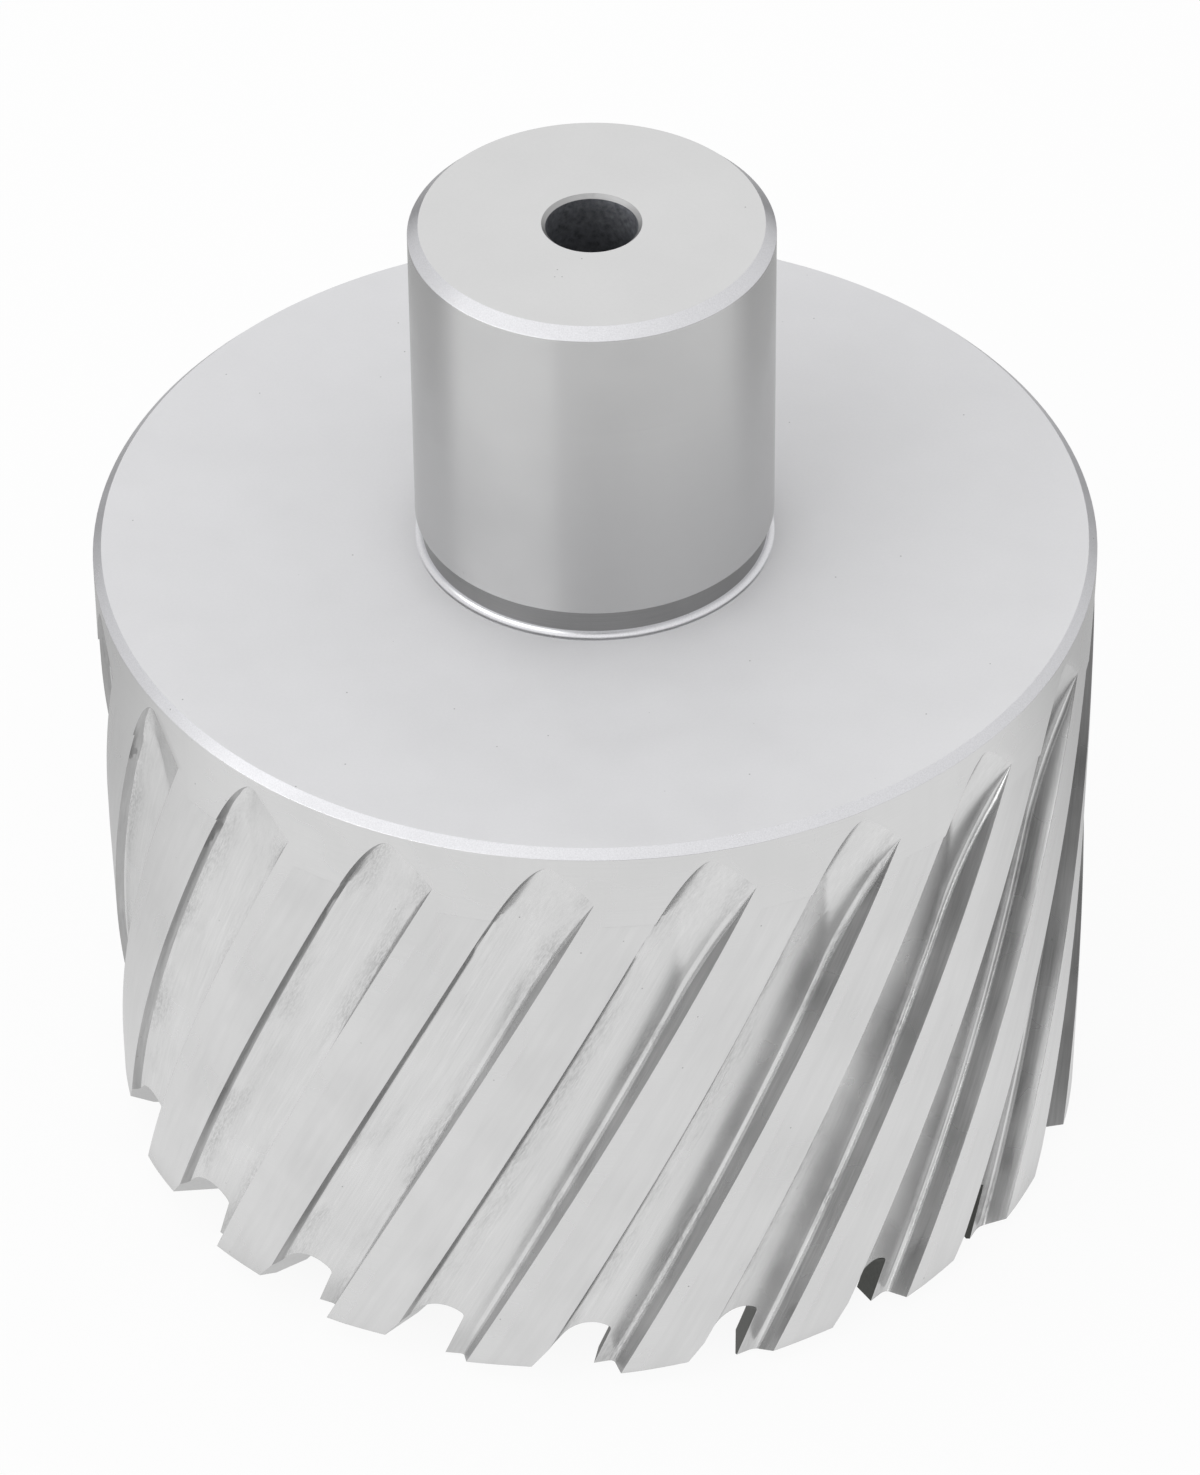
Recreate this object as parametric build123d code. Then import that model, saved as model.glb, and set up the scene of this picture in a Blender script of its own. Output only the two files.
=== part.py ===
from build123d import *
import os
from math import atan2, cos, degrees, hypot, radians, sin, sqrt, tan

# Annular cutter, one piece of hardened high speed steel, millimetres.
# It stands on its tooth tips: Z = 0 is the plane of the tips, +Z runs up the
# shank, and the front of the cutter faces -Y. Azimuths turn from the front
# towards +X, so the right-hand flutes gain azimuth as they climb.

# Body
cutter_diameter = 88.9          # 3 1/2 inch, over the land margins
body_length = 62.7              # tooth tips to shoulder
body_chamfer = 0.77             # around the shoulder's rim
wall_thickness = 4.76           # tooth ring, from bore to margin
cup_depth = 51.6                # tips to the cup's ceiling: a 2 inch cut and its clearance
cup_fillet = 2.0                # inside, where the wall meets the ceiling

# Shank
shank_diameter = 31.75          # 1 1/4 inch
shank_length = 33.2             # shoulder to shank top
shank_chamfer = 0.95
neck_diameter = 30.6            # grinding relief under the shank
neck_height = 3.0               # from the shoulder
neck_fillet = 0.6               # between neck and shoulder
pilot_bore_diameter = 8.0       # runs right through into the cup
pilot_bore_chamfer = 0.35

# Drive flats on the rear of the shank, for the set screws of the holder
flat_count = 2
flat_spacing = 90.0             # degrees between neighbouring flats
flat_turn = 15.0                # degrees from the rear to the middle of the pair
flat_depth = 1.9                # below the shank's surface
flat_length = 16.0              # along the shank
flat_rise = 18.0                # flat centre above the shoulder

# Flutes
tooth_count = 20
first_tooth_azimuth = 2.0       # of the outer corner of the tooth nearest the front
helix_angle = 25.2              # right-hand
flute_width = 7.75              # across the mouth, square to the axis
flute_depth = 2.35              # at the foot of the rake wall
heel_depth = 0.95               # at the foot of the heel wall
rake_set = 0.3                  # the rake wall's foot stands this far ahead of its edge
rake_fillet = 0.55
heel_draft = 25.0               # degrees that the heel wall leans out
heel_fillet = 0.45
floor_hollow = 0.28             # of the flute floor below its chord

# Run-out of the flutes, left by the grinding wheel below the shoulder
wheel_radius = 76.2             # a 6 inch wheel, set over by the helix angle
wheel_edge_radius = 2.1         # on the heel side
wheel_heel_room = 0.05          # the wheel's side beyond the heel wall's foot
flute_end = 5.5                 # shoulder to the end of each rake edge
fade_length = 14.8              # along the axis, over which the rake wall runs out

# Land behind each margin
margin_width = 1.6
land_relief = 0.15              # at the land's heel, growing from nothing behind the margin
land_relief_start = 8.2         # below the shoulder

# Tooth ends: every second tooth has a crested end, the others a plain slope
corner_height = 1.8             # outer corners above the tips
end_relief = 6.5                # degrees, rising behind the cutting edges
plain_end_slope = 11.7          # degrees, falling from the outer corner to the bore
crest_inner_slope = 16.0        # degrees, rising from the crest to the bore
crest_set = 0.3                 # crest inside the foot of the rake wall

# Gullets through the tooth ring, ground along a line that falls inwards
gullet_slope = 36.0             # degrees below level
gullet_height = 4.82            # crown above the tips, square to that line
gullet_crown_radius = 3.2
gullet_crown_set = 2.75         # crown ahead of the outer corner
gullet_corner_radius = 0.35
web_lead = 2.62                 # web's cutting corner ahead of the outer corner
web_rake = 25.0                 # degrees that the web's rake face leans
heel_trim = 0.1                 # taken off the land's heel corner

# Tools reach past the steel that they cut by this much
overreach = 1.6

# Derived
cutter_radius = cutter_diameter / 2
bore_radius = cutter_radius - wall_thickness
floor_radius = cutter_radius - flute_depth
crest_radius = floor_radius - crest_set
shank_radius = shank_diameter / 2
shank_top = body_length + shank_length
tooth_pitch = 360 / tooth_count
flute_turn = degrees(flute_width / cutter_radius)
twist_rate = degrees(tan(radians(helix_angle)) / cutter_radius)


def front_point(radius, azimuth, height=0.0):
    """The point at a radius and an azimuth from the front."""
    turn = radians(azimuth)
    return Vector(radius * sin(turn), -radius * cos(turn), height)


def twist_at(height):
    """Azimuth that the helix has gained since the outer corners' level."""
    return (height - corner_height) * twist_rate


def around(tool, azimuth):
    """A copy of a tool, turned about the cutter's axis."""
    return Rot(0, 0, azimuth) * tool


def twisted_prism(section, low, high):
    """A section drawn at the outer corners' level, swept along the helix."""
    start = (Pos(0, 0, low) * Rot(0, 0, twist_at(low)) * section).face()
    turn = twist_at(high) - twist_at(low)
    return Solid.extrude_linear_with_rotation(start, (0, 0, low), (0, 0, high - low), turn)


def blank():
    """The turned blank: shank, neck, shoulder, cup and pilot bore."""
    pilot_radius = pilot_bore_diameter / 2
    neck_radius = neck_diameter / 2
    chamfered_radius = pilot_radius + pilot_bore_chamfer
    below_tips = -overreach / 2
    outline = [
        (chamfered_radius, shank_top),
        (shank_radius - shank_chamfer, shank_top),
        (shank_radius, shank_top - shank_chamfer),
        (shank_radius, body_length + neck_height),
        (neck_radius, body_length + neck_height),
        (neck_radius, body_length),
        (cutter_radius - body_chamfer, body_length),
        (cutter_radius, body_length - body_chamfer),
        (cutter_radius, below_tips),
        (bore_radius, below_tips),
        (bore_radius, cup_depth),
        (chamfered_radius, cup_depth),
        (pilot_radius, cup_depth + pilot_bore_chamfer),
        (pilot_radius, shank_top - pilot_bore_chamfer),
    ]
    half_section = make_face(Polyline(*outline, close=True))
    neck_foot = half_section.vertices().sort_by_distance((neck_radius, body_length))[0]
    half_section = fillet(neck_foot, neck_fillet)
    cup_corner = half_section.vertices().sort_by_distance((bore_radius, cup_depth))[0]
    half_section = fillet(cup_corner, cup_fillet)
    return revolve(Plane.XZ * half_section, Axis.Z)


def drive_flats():
    """Blocks that mill the drive flats across the rear of the shank."""
    block = Box(shank_diameter, flat_depth + overreach, flat_length)
    distance = shank_radius - flat_depth + (flat_depth + overreach) / 2
    block = Pos(0, distance, body_length + flat_rise) * block
    first = flat_turn - flat_spacing * (flat_count - 1) / 2
    return [around(block, first + flat_spacing * index) for index in range(flat_count)]


def flute_section():
    """The flute square to the axis, with its rake edge at the front."""
    rake_edge = front_point(cutter_radius, 0)
    rake_foot = Vector(-rake_set, -floor_radius)
    heel_edge = front_point(cutter_radius, -flute_turn)
    heel_lean = radians(heel_draft + flute_turn)
    heel_way = Vector(-sin(heel_lean), -cos(heel_lean))
    rake_way = (rake_edge - rake_foot).normalized()
    heel_foot = heel_edge - heel_way * (heel_depth / cos(radians(heel_draft)))
    chord = heel_foot - rake_foot
    inwards = Vector(chord.Y, -chord.X).normalized()
    floor_middle = (rake_foot + heel_foot) / 2 + inwards * floor_hollow
    mouth_right = rake_edge + rake_way * overreach
    mouth_left = heel_edge + heel_way * overreach * 1.5
    floor = ThreePointArc(rake_foot, floor_middle, heel_foot)
    rim = Polyline(heel_foot, mouth_left, mouth_right, rake_foot)
    section = make_face([floor.edge(), *rim.edges()])
    section = fillet(section.vertices().sort_by_distance(rake_foot)[0], rake_fillet)
    return fillet(section.vertices().sort_by_distance(heel_foot)[0], heel_fillet)


def run_out():
    """The room under the wheel's last position and down the flute from there."""
    contact_height = body_length - flute_end - fade_length
    contact_azimuth = twist_at(contact_height) - degrees(rake_set / floor_radius)
    contact = front_point(floor_radius, contact_azimuth, contact_height)
    outwards = front_point(1, contact_azimuth)
    swivel = radians(helix_angle)
    sideways = front_point(1, contact_azimuth + 90)
    along = sideways * sin(swivel) + Vector(0, 0, cos(swivel))
    wheel_axis = sideways * cos(swivel) - Vector(0, 0, sin(swivel))
    heel_side = (flute_width - heel_depth * tan(radians(heel_draft))) * cos(swivel) + wheel_heel_room
    rake_side = flute_width
    wheel_plane = Plane(origin=contact + outwards * wheel_radius, x_dir=outwards, z_dir=wheel_axis)
    wheel = Cylinder(wheel_radius, heel_side + rake_side)
    wheel = fillet(wheel.edges().sort_by(Axis.Z)[0], wheel_edge_radius)
    wheel = wheel_plane * Pos(0, 0, (rake_side - heel_side) / 2) * wheel
    reach = 3 * cutter_diameter
    below_plane = Plane(origin=contact, x_dir=wheel_axis, z_dir=along)
    below = below_plane * Pos(0, 0, -reach / 2) * Box(reach, reach, reach)
    return wheel + below


def flute():
    """One flute: a straight-sided helix that the wheel's radius lifts out of the body."""
    prism = twisted_prism(flute_section(), -overreach, body_length - body_chamfer)
    return prism & run_out()


def relieved_land():
    """The thin layer ground off behind the margin, ahead of the next flute's heel."""
    margin_turn = degrees(margin_width / cutter_radius)
    land_turn = tooth_pitch - flute_turn
    land_end = land_turn + degrees(heel_depth / cutter_radius) / 2
    outer = cutter_radius + overreach

    def ground_point(turn):
        depth = land_relief * (turn - margin_turn) / (land_turn - margin_turn)
        return front_point(cutter_radius - depth, turn)

    ground = ThreePointArc(ground_point(0), ground_point(land_end / 2), ground_point(land_end))
    corners = [front_point(outer, land_end), front_point(outer, 0)]
    rim = Polyline(ground @ 1, *corners, ground @ 0)
    section = make_face([ground.edge(), *rim.edges()])
    return twisted_prism(section, -overreach, body_length - land_relief_start)


def tooth_end(crested):
    """The steel below one tooth's end faces, with the relief behind its edges."""
    rise = tan(radians(end_relief))
    outer = cutter_radius + overreach
    inner = bore_radius - overreach
    if crested:
        crest_height = web_lead * rise
        outer_slope = (corner_height - crest_height) / (cutter_radius - crest_radius)
        inner_height = crest_height + (crest_radius - inner) * tan(radians(crest_inner_slope))
        outer_height = corner_height + outer_slope * overreach
        edge_line = [(-inner, inner_height), (-crest_radius, crest_height), (-outer, outer_height)]
    else:
        fall = tan(radians(plain_end_slope))
        inner_height = corner_height - (cutter_radius - inner) * fall
        edge_line = [(-inner, inner_height), (-outer, corner_height + overreach * fall)]
    low = -corner_height
    profile = make_face(Polyline(*edge_line, (-outer, low), (-inner, low), close=True))
    pitch_arc = radians(tooth_pitch) * cutter_radius
    ahead = (flute_width + web_lead) / 2
    behind = pitch_arc - ahead - overreach / 8
    travel = Vector(cos(radians(end_relief)), 0, sin(radians(end_relief)))
    start = Plane.YZ * profile
    start = Pos(-ahead, 0, -ahead * rise) * start
    return extrude(start, amount=(ahead + behind) / travel.X, dir=travel)


def gullet():
    """One gullet: a hooked slot through the ring, its floor falling inwards."""
    slope = radians(gullet_slope)
    lean = tan(radians(web_rake))
    low = -2 * corner_height
    rise = tan(radians(end_relief))
    heel_azimuth = radians(flute_turn)
    heel_out = cutter_radius * cos(heel_azimuth) - crest_radius
    heel_across = -cutter_radius * sin(heel_azimuth)
    land_arc = radians(tooth_pitch - flute_turn) * cutter_radius
    heel_up = corner_height + land_arc * rise
    heel_corner = Vector(heel_across - heel_trim, heel_up * cos(slope) - heel_out * sin(slope))
    crown_centre = Vector(-gullet_crown_set, gullet_height - gullet_crown_radius)
    # The heel side is tangent to the crown and passes the land's heel corner.
    to_centre = crown_centre - heel_corner
    distance = hypot(to_centre.X, to_centre.Y)
    tangent_length = sqrt(distance**2 - gullet_crown_radius**2)
    tangent_angle = atan2(to_centre.Y, to_centre.X) + atan2(gullet_crown_radius, tangent_length)
    tangent_way = Vector(cos(tangent_angle), sin(tangent_angle))
    crown_start = heel_corner + tangent_way * tangent_length
    heel_low = heel_corner + tangent_way * ((low - heel_corner.Y) / tangent_way.Y)
    # The rake face meets the crown circle on its far side.
    face_foot = Vector(-web_lead, 0)
    face_way = Vector(lean, 1).normalized()
    offset = face_foot - crown_centre
    half = offset.dot(face_way)
    face_length = -half + sqrt(half**2 - offset.dot(offset) + gullet_crown_radius**2)
    crown_end = face_foot + face_way * face_length
    face_low = Vector(-web_lead + lean * low, low)
    crown_top = crown_centre + Vector(0, gullet_crown_radius)
    crown = ThreePointArc(crown_start, crown_top, crown_end)
    sides = Polyline(crown_end, face_low, heel_low, crown_start)
    profile = make_face([crown.edge(), *sides.edges()])
    profile = fillet(profile.vertices().sort_by_distance(crown_end)[0], gullet_corner_radius)
    grinding_plane = Plane(
        origin=(0, -crest_radius, 0), x_dir=(1, 0, 0), z_dir=(0, -cos(slope), sin(slope))
    )
    outwards = (cutter_radius + overreach - crest_radius) / cos(slope)
    inwards = (crest_radius - bore_radius + 2 * overreach) / cos(slope)
    start = grinding_plane * Pos(0, 0, -inwards) * profile
    return extrude(start, amount=inwards + outwards, dir=grinding_plane.z_dir)


def cutter_body():
    """The whole cutter, ground from its blank."""
    flute_tool = flute()
    land_tool = relieved_land()
    gullet_tool = gullet()
    end_tools = [tooth_end(False), tooth_end(True)]
    tools = drive_flats()
    for index in range(tooth_count):
        azimuth = first_tooth_azimuth + index * tooth_pitch
        for tool in (flute_tool, land_tool, gullet_tool, end_tools[index % 2]):
            tools.append(around(tool, azimuth))
    return blank() - tools


os.makedirs("parts", exist_ok=True)
body = cutter_body()
body.label = "cutter_body"
export_step(body, "parts/cutter_body.step")
print("cutter_body volume", round(body.volume, 1), "solids", len(body.solids()))
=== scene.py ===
from math import cos, pi, radians, sin, tan

import bmesh
import bpy
import numpy as np
from mathutils import Matrix, Vector


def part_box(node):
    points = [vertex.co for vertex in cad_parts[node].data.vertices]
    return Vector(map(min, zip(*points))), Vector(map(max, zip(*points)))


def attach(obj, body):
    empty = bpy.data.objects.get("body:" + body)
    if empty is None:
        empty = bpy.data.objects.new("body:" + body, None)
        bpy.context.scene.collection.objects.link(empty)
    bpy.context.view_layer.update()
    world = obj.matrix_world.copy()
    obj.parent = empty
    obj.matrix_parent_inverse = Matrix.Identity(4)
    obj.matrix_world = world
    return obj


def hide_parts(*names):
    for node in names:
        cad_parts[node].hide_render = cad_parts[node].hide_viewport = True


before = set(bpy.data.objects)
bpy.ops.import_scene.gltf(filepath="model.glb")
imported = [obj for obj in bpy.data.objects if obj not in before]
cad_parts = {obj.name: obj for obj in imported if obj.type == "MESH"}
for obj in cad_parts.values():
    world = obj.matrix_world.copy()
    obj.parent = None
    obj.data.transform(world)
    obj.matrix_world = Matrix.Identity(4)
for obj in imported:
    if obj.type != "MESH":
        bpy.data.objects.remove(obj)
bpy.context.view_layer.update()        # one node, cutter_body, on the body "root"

# Annular cutter standing on its tooth tips. Shapes are worked out in millimetres in the
# frame's own axes (Z up the shank, front towards -Y) and put into meshes in metres.
mm = 0.001
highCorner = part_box("cutter_body")[1]

# What the whole cutter shares. Radius and height come from the frame.
cutter = {
    "radius": highCorner[0] / mm,
    "top": highCorner[2] / mm,
    "bodyLength": 62.7,
    "wall": 4.76,
    "cupDepth": 51.6,
    "teeth": 20,
    "firstTooth": 2.0,        # degrees from the front towards +X
    "helix": 25.2,            # degrees, right hand
    "fluteWidth": 7.75,       # mouth, square to the axis
    "cornerHeight": 1.8,      # outer tooth corners above the tips
    "endRelief": 6.5,         # degrees behind the end cutting edges
}
twistRate = tan(radians(cutter["helix"])) / cutter["radius"]
pitch = 2 * pi / cutter["teeth"]
firstTooth = radians(cutter["firstTooth"])
boreRadius = cutter["radius"] - cutter["wall"]


def twistAt(z):
    # azimuth gained by the helix since the outer corners' level
    return (z - cutter["cornerHeight"]) * twistRate


def polar(x, y):
    # (turn, radius) of points drawn square to the axis, x across and y outwards
    return np.arctan2(x, y), np.hypot(x, y)


print("stage 1: finishes")

# Grey level, roughness and how far the steel's tool marks stretch its reflections. Marks run round
# the axis, up the helix or without a way, with their sizes in millimetres across and along. "vary"
# is how far the marks change the grey, "cloud" how far slow patches do, "smudge" how dark the
# streaky stains are, and "depth" is the marks' own, in millimetres.
finishes = {
    "faceSteel": {"grey": 0.69, "rough": 0.60, "metal": 0.12, "stretch": 0.0,
                  "marks": "even", "across": 0.25, "along": 0.25,
                  "vary": 0.012, "cloud": 0.02, "smudge": 0.0, "depth": 0.0008},
    # painted shade: the face's finish, painted a little darker on the shank's top
    "topSteel": {"grey": 0.64, "rough": 0.60, "metal": 0.12, "stretch": 0.0,
                 "marks": "even", "across": 0.25, "along": 0.25,
                 "vary": 0.012, "cloud": 0.02, "smudge": 0.0, "depth": 0.0008},
    "chamferSteel": {"grey": 0.72, "rough": 0.30, "metal": 1.0, "stretch": 0.0,
                     "marks": "even", "across": 0.12, "along": 0.12,
                     "vary": 0.10, "cloud": 0.02, "smudge": 0.0, "depth": 0.006},
    "shankSteel": {"grey": 0.59, "rough": 0.24, "metal": 1.0, "stretch": 1.0,
                   "marks": "round", "across": 0.10, "along": 30.0,
                   "vary": 0.015, "cloud": 0.02, "smudge": 0.0, "depth": 0.00002},
    # painted shade: the neck's groove under the shank is painted dark
    "neckSteel": {"grey": 0.30, "rough": 0.42, "metal": 1.0, "stretch": 0.0,
                  "marks": "round", "across": 0.12, "along": 6.0,
                  "vary": 0.06, "cloud": 0.05, "smudge": 0.1, "depth": 0.0010},
    "landSteel": {"grey": 0.68, "rough": 0.28, "metal": 1.0, "stretch": 0.3,
                  "marks": "round", "across": 0.12, "along": 7.0,
                  "vary": 0.02, "cloud": 0.03, "smudge": 0.05, "depth": 0.0004},
    "reliefSteel": {"grey": 0.67, "rough": 0.30, "metal": 1.0, "stretch": 0.0,
                    "marks": "helix", "across": 0.8, "along": 8.0,
                    "vary": 0.04, "cloud": 0.04, "smudge": 0.06, "depth": 0.0010},
    # painted shade: the heel walls' steel is painted dark
    "heelSteel": {"grey": 0.42, "rough": 0.34, "metal": 1.0, "stretch": 0.0,
                  "marks": "helix", "across": 0.25, "along": 5.0,
                  "vary": 0.15, "cloud": 0.10, "smudge": 0.35, "depth": 0.0020},
    "fluteSteel": {"grey": 0.69, "rough": 0.25, "metal": 1.0, "stretch": 0.0,
                   "marks": "helix", "across": 0.22, "along": 6.0,
                   "vary": 0.05, "cloud": 0.04, "smudge": 0.15, "depth": 0.0014},
    # painted shade: the rake walls' steel is painted dark
    "rakeSteel": {"grey": 0.43, "rough": 0.28, "metal": 1.0, "stretch": 0.0,
                  "marks": "helix", "across": 0.22, "along": 5.0,
                  "vary": 0.16, "cloud": 0.12, "smudge": 0.40, "depth": 0.0016},
    "endSteel": {"grey": 0.62, "rough": 0.30, "metal": 1.0, "stretch": 0.0,
                 "marks": "even", "across": 0.2, "along": 0.2,
                 "vary": 0.05, "cloud": 0.04, "smudge": 0.1, "depth": 0.0010},
    # painted shadow: the web's rake face in each gullet is painted near black
    "gulletSteel": {"grey": 0.10, "rough": 0.45, "metal": 1.0, "stretch": 0.0,
                    "marks": "even", "across": 0.3, "along": 0.3,
                    "vary": 0.12, "cloud": 0.12, "smudge": 0.1, "depth": 0.0020},
    # painted shade: the pilot bore's wall is painted dark and mottled
    "scaleSteel": {"grey": 0.26, "rough": 0.45, "metal": 0.7, "stretch": 0.0,
                   "marks": "even", "across": 0.5, "along": 0.5,
                   "vary": 0.45, "cloud": 0.20, "smudge": 0.2, "depth": 0.02},
    # painted shade: the bore, the cup and the pilot's chamfers are painted darker
    "boreSteel": {"grey": 0.42, "rough": 0.36, "metal": 1.0, "stretch": 0.0,
                  "marks": "round", "across": 0.25, "along": 6.0,
                  "vary": 0.10, "cloud": 0.08, "smudge": 0.2, "depth": 0.0020},
}
# tints of some finishes; the gullet's rake face and the pilot bore tint their painted shade
steelHue = {"faceSteel": (1.0, 1.0, 1.02), "chamferSteel": (1.0, 1.0, 1.03),
            "gulletSteel": (1.0, 1.03, 0.96), "scaleSteel": (0.96, 0.99, 1.08)}
# What every finish shares. Sizes are in millimetres, and a range is the part of the noise, or of
# the reach of a speck, over which its shade comes in
wear = {
    "marksRange": (0.25, 0.75), "marksDetail": 3.0, "noiseRough": 0.6,
    "cloudSize": (9.0, 9.0, 9.0), "cloudDetail": 2.0, "cloudRange": (0.3, 0.7),
    "stainSize": (1.2, 1.2, 14.0), "stainDetail": 4.0,
    "stainMarks": (0.46, 0.72), "stainRange": (0.50, 0.68),
    "speckCell": 2.6, "speckRadius": 0.09, "speckDark": 0.45, "speckCore": 0.6,
    "roughSpread": 0.12,      # by which the clouds change the roughness, either way
    "bump": 0.5,
    "edgeRound": 0.06,        # on every sharp edge, for its glint
    "edgeSamples": 6,
}
# Grain and painted shade on the flute's floor, within these distances of its heel foot and its rake
# foot
footGrainAndShade = {
    "heel": (0.5, 3.5), "rake": (0.4, 2.6), "dark": 0.36,
    "patchSize": (4.0, 4.0, 14.0), "patchRange": (0.44, 0.62),
    "grainSize": (0.14, 0.14, 0.7), "grainRange": (0.40, 0.62), "leastGrain": 0.2,
}


def addNode(tree, kind, inputs=None, **settings):
    # a shader node with its settings, its inputs given as values or as other nodes' outputs
    node = tree.nodes.new("ShaderNode" + kind)
    for name, value in settings.items():
        setattr(node, name, value)
    for key, value in (inputs or {}).items():
        if isinstance(value, bpy.types.NodeSocket):
            tree.links.new(value, node.inputs[key])
        else:
            node.inputs[key].default_value = value
    return node


def calc(tree, operation, first, second=0.0):
    # one operation on two values, such as their sum or product
    return addNode(tree, "Math", {0: first, 1: second}, operation=operation).outputs[0]


def spread(tree, value, low, high, fromLow=0.0, fromHigh=1.0, **settings):
    # value carried from one range to another, and held at its ends
    inputs = {"Value": value, "From Min": fromLow, "From Max": fromHigh,
              "To Min": low, "To Max": high}
    return addNode(tree, "MapRange", inputs, **settings).outputs["Result"]


def noise(tree, place, size, detail=wear["marksDetail"]):
    # noise whose features measure size, in millimetres along each axis
    scale = tuple(1 / (length * mm) for length in size)
    placed = addNode(tree, "Mapping", {"Vector": place, "Scale": scale}).outputs[0]
    inputs = {"Vector": placed, "Scale": 1.0, "Detail": detail, "Roughness": wear["noiseRough"]}
    return addNode(tree, "TexNoise", inputs).outputs["Fac"]


def azimuthOf(tree, way):
    # angle of a way or place about the axis, from the front towards +X
    return calc(tree, "ARCTAN2", way["X"], calc(tree, "MULTIPLY", way["Y"], -1.0))


def product(tree, first, *others):
    # all the values multiplied together
    for other in others:
        first = calc(tree, "MULTIPLY", first, other)
    return first


def floorGrainAndShade(tree, place, marksPlace):
    # how dark the grainy painted shade is: high near either foot of the flute's floor, where slow
    # patches allow.
    # The place across a flute is the azimuth less the helix's own, within one pitch
    way = addNode(tree, "SeparateXYZ", {0: place}).outputs
    azimuth = azimuthOf(tree, way)
    gained = calc(tree, "MULTIPLY", way["Z"], twistRate / mm)
    start = firstTooth + twistAt(0.0)
    turn = calc(tree, "SUBTRACT", calc(tree, "SUBTRACT", azimuth, gained), start)
    across = calc(tree, "MULTIPLY", calc(tree, "FLOORED_MODULO", turn, pitch), cutter["radius"])
    rakeAt = pitch * cutter["radius"]
    heelAt = rakeAt - cutter["fluteWidth"]
    near, far = footGrainAndShade["heel"]
    atHeel = spread(tree, across, 1.0, 0.0, heelAt + near, heelAt + far)
    near, far = footGrainAndShade["rake"]
    atRake = spread(tree, across, 0.0, 1.0, rakeAt - far, rakeAt - near)
    patches = spread(tree, noise(tree, marksPlace, footGrainAndShade["patchSize"]), 0.0, 1.0,
                     *footGrainAndShade["patchRange"])
    shadeGrain = spread(tree, noise(tree, marksPlace, footGrainAndShade["grainSize"]),
                   footGrainAndShade["leastGrain"], 1.0, *footGrainAndShade["grainRange"])
    return product(tree, calc(tree, "MAXIMUM", atHeel, atRake), patches, shadeGrain)


def steelMaterial(name, look):
    # the grey is its level times marks, clouds, stains and specks, each near 1; the marks also
    # bump the surface, and the clouds change its roughness
    material = bpy.data.materials.new(name)
    material.use_nodes = True
    tree = material.node_tree
    shader = tree.nodes["Principled BSDF"]
    shader.inputs["Metallic"].default_value = look["metal"]
    if look["stretch"]:
        # marks round the axis blur reflections up and down, a quarter turn from the marks
        shader.inputs["Anisotropic"].default_value = look["stretch"]
        shader.inputs["Anisotropic Rotation"].default_value = 0.25
        tangent = addNode(tree, "Tangent", direction_type="RADIAL", axis="Z")
        tree.links.new(tangent.outputs[0], shader.inputs["Tangent"])
    place = addNode(tree, "TexCoord").outputs["Object"]
    across, along = look["across"], look["along"]
    marksPlace, size = place, (across, across, across)
    if look["marks"] == "round":
        size = (along, along, across)
    if look["marks"] == "helix":
        # untwist the flutes, so that the marks run up them
        height = addNode(tree, "SeparateXYZ", {0: place}).outputs["Z"]
        turn = calc(tree, "MULTIPLY", height, -twistRate / mm)
        inputs = {"Vector": place, "Angle": turn}
        marksPlace = addNode(tree, "VectorRotate", inputs, rotation_type="Z_AXIS").outputs["Vector"]
        size = (across, across, along)
    marks = noise(tree, marksPlace, size)
    cloud = noise(tree, place, wear["cloudSize"], wear["cloudDetail"])
    patch = noise(tree, marksPlace, wear["stainSize"], wear["stainDetail"])
    stain = calc(tree, "MULTIPLY", spread(tree, marks, 0.0, 1.0, *wear["stainMarks"]),
                 spread(tree, patch, 0.0, 1.0, *wear["stainRange"]))
    inputs = {"Vector": place, "Scale": 1 / (wear["speckCell"] * mm)}
    cells = addNode(tree, "TexVoronoi", inputs).outputs["Distance"]
    reach = wear["speckRadius"] / wear["speckCell"]
    shades = [
        spread(tree, marks, 1 - look["vary"], 1 + look["vary"], *wear["marksRange"]),
        spread(tree, cloud, 1 - look["cloud"], 1 + look["cloud"], *wear["cloudRange"]),
        spread(tree, stain, 1.0, 1 - look["smudge"]),
        spread(tree, cells, 1 - wear["speckDark"], 1.0, wear["speckCore"] * reach, reach),
    ]
    # the flute's floor also takes a grainy painted shade near the feet of its walls
    if name == "fluteSteel":
        shadeGrain = floorGrainAndShade(tree, place, marksPlace)
        shades.append(spread(tree, shadeGrain, 1.0, 1 - footGrainAndShade["dark"]))
    level = look["grey"]
    for shade in shades:
        level = calc(tree, "MULTIPLY", shade, level)
    hue = steelHue.get(name, (1.0, 1.0, 1.0))
    colour = addNode(tree, "VectorMath", {0: hue, "Scale": level}, operation="SCALE").outputs[0]
    tree.links.new(colour, shader.inputs["Base Color"])
    rough = spread(tree, cloud, (1 - wear["roughSpread"]) * look["rough"],
                   (1 + wear["roughSpread"]) * look["rough"], *wear["cloudRange"])
    tree.links.new(rough, shader.inputs["Roughness"])
    edge = addNode(tree, "Bevel", {"Radius": wear["edgeRound"] * mm}, samples=wear["edgeSamples"])
    inputs = {"Strength": wear["bump"], "Distance": look["depth"] * mm,
              "Height": marks, "Normal": edge.outputs["Normal"]}
    tree.links.new(addNode(tree, "Bump", inputs).outputs["Normal"], shader.inputs["Normal"])
    return material


finishOrder = list(finishes)
steels = [steelMaterial(name, finishes[name]) for name in finishOrder]

print("stage 2: flute section")

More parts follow.
